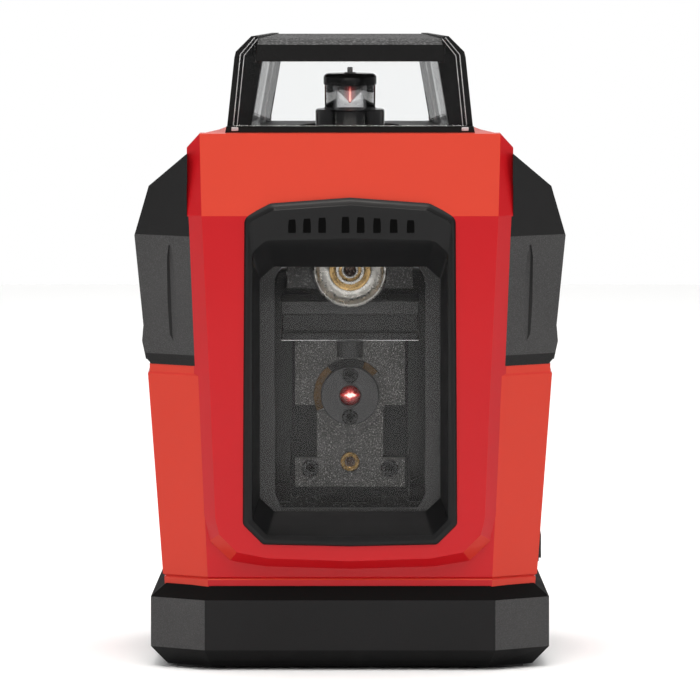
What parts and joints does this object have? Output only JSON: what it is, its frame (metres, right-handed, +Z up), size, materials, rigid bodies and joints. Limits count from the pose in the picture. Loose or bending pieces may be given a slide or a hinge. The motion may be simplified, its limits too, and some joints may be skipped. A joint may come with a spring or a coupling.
{
  "type": "line laser level",
  "caption": "Self-levelling line laser: faceted housing with side grips, window over a gimballed pendulum, cone mirror under a roll cage, lock slider, keypad and battery bay.",
  "frame": {"origin": "centre of the footprint, on the ground under the feet", "axes": "+Z up along the instrument, front window faces -Y, +X is the lock slider side"},
  "size_m": [0.106, 0.092, 0.155],
  "materials": {
    "red_shell": "satin",
    "grip_rubber": "matte",
    "seal_rubber": "matte",
    "black_plastic": "satin",
    "grey_plastic": "matte",
    "plate_metal": "satin",
    "brass_insert": "satin",
    "screw_steel": "satin",
    "black_screw": "satin",
    "bearing_steel": "gloss",
    "barrel_steel": "satin",
    "magnet_metal": "gloss",
    "dark_cast": "matte",
    "block_cast": "matte",
    "cap_metal": "gloss",
    "clear_glass": "polished",
    "lens_glass": "polished",
    "mirror_face": "polished",
    "copper_ring": "satin",
    "board_green": "satin",
    "lens_green": "gloss",
    "cell_jacket": "gloss",
    "contact_metal": "satin",
    "red_button": "matte"
  },
  "bodies": {
    "housing": {"front_housing": "red_shell", "rear_housing": "red_shell", "side_grip_left": "grip_rubber", "side_grip_right": "grip_rubber", "base_boot": "grip_rubber", "base_plate": "plate_metal", "tripod_insert": "brass_insert", "rubber_feet": "grip_rubber", "base_screws": "screw_steel", "housing_screws": "screw_steel", "window_bezel": "black_plastic", "window_gasket": "seal_rubber", "window_pane": "clear_glass", "window_retainer": "grey_plastic", "guard_frame": "black_plastic", "guard_pane_front": "clear_glass", "guard_pane_rear": "clear_glass", "guard_pane_left": "clear_glass", "guard_pane_right": "clear_glass", "guard_screws": "screw_steel", "chassis": "dark_cast", "chassis_screws": "screw_steel", "pitch_bearings": "bearing_steel", "damping_magnets": "magnet_metal", "main_board": "board_green", "board_components": "black_plastic", "keypad_board": "board_green", "control_panel": "black_plastic", "status_lens": "lens_green", "battery_tray": "black_plastic", "battery_cells": "cell_jacket", "battery_contacts": "contact_metal", "hinge_pin": "screw_steel"},
    "gimbal": {"gimbal_ring": "dark_cast", "bearing_cups": "bearing_steel", "roll_bearings": "brass_insert", "pitch_pins": "screw_steel"},
    "pendulum": {"pendulum_block": "block_cast", "pendulum_yoke": "dark_cast", "roll_pins": "screw_steel", "horizontal_laser_module": "brass_insert", "cone_collar": "black_plastic", "cone_tube": "clear_glass", "cone_mirror": "mirror_face", "cone_cap": "cap_metal", "cap_pin": "bearing_steel", "vertical_laser_module": "barrel_steel", "module_ring": "copper_ring", "line_lens": "lens_glass", "pendulum_screws": "black_screw", "balance_screw": "brass_insert", "counterweight": "brass_insert"},
    "slider": {"lock_slider": "black_plastic"},
    "plunger": {"lock_plunger": "screw_steel", "brake_pad": "seal_rubber"},
    "mode_key": {"mode_button": "grip_rubber"},
    "pulse_key": {"pulse_button": "red_button"},
    "door": {"battery_door": "red_shell"},
    "latch": {"door_latch": "black_plastic"}
  },
  "joints": [
    {"name": "pendulum_pitch", "type": "hinge", "parent": "housing", "child": "gimbal", "pos_m": [0, -0.01, 0.097], "axis": [1, 0, 0], "range_deg": [-4, 4]},
    {"name": "pendulum_roll", "type": "hinge", "parent": "gimbal", "child": "pendulum", "pos_m": [0, -0.01, 0.097], "axis": [0, 1, 0], "range_deg": [-4, 4]},
    {"name": "lock_slide", "type": "slide", "parent": "housing", "child": "slider", "axis": [0, 1, 0], "range_m": [0, 0.008]},
    {"name": "brake_lift", "type": "slide", "parent": "housing", "child": "plunger", "axis": [0, 0, 1], "range_m": [0, 0.0016]},
    {"name": "mode_press", "type": "slide", "parent": "housing", "child": "mode_key", "axis": [0, -0.4384, -0.8988], "range_m": [0, 0.0008], "stiffness_N_per_m": 400, "springref_m": -0.0004},
    {"name": "pulse_press", "type": "slide", "parent": "housing", "child": "pulse_key", "axis": [0, -0.4384, -0.8988], "range_m": [0, 0.0008], "stiffness_N_per_m": 400, "springref_m": -0.0004},
    {"name": "battery_door_hinge", "type": "hinge", "parent": "housing", "child": "door", "pos_m": [0, 0.0413, 0.0248], "axis": [-1, 0, 0], "range_deg": [0, 85]},
    {"name": "latch_slide", "type": "slide", "parent": "door", "child": "latch", "axis": [0, 0, -1], "range_m": [0, 0.0015], "stiffness_N_per_m": 150, "springref_m": -0.002}
  ],
  "couplings": [
    {"joint": "brake_lift", "follows": "lock_slide", "ratio": 0.2}
  ]
}
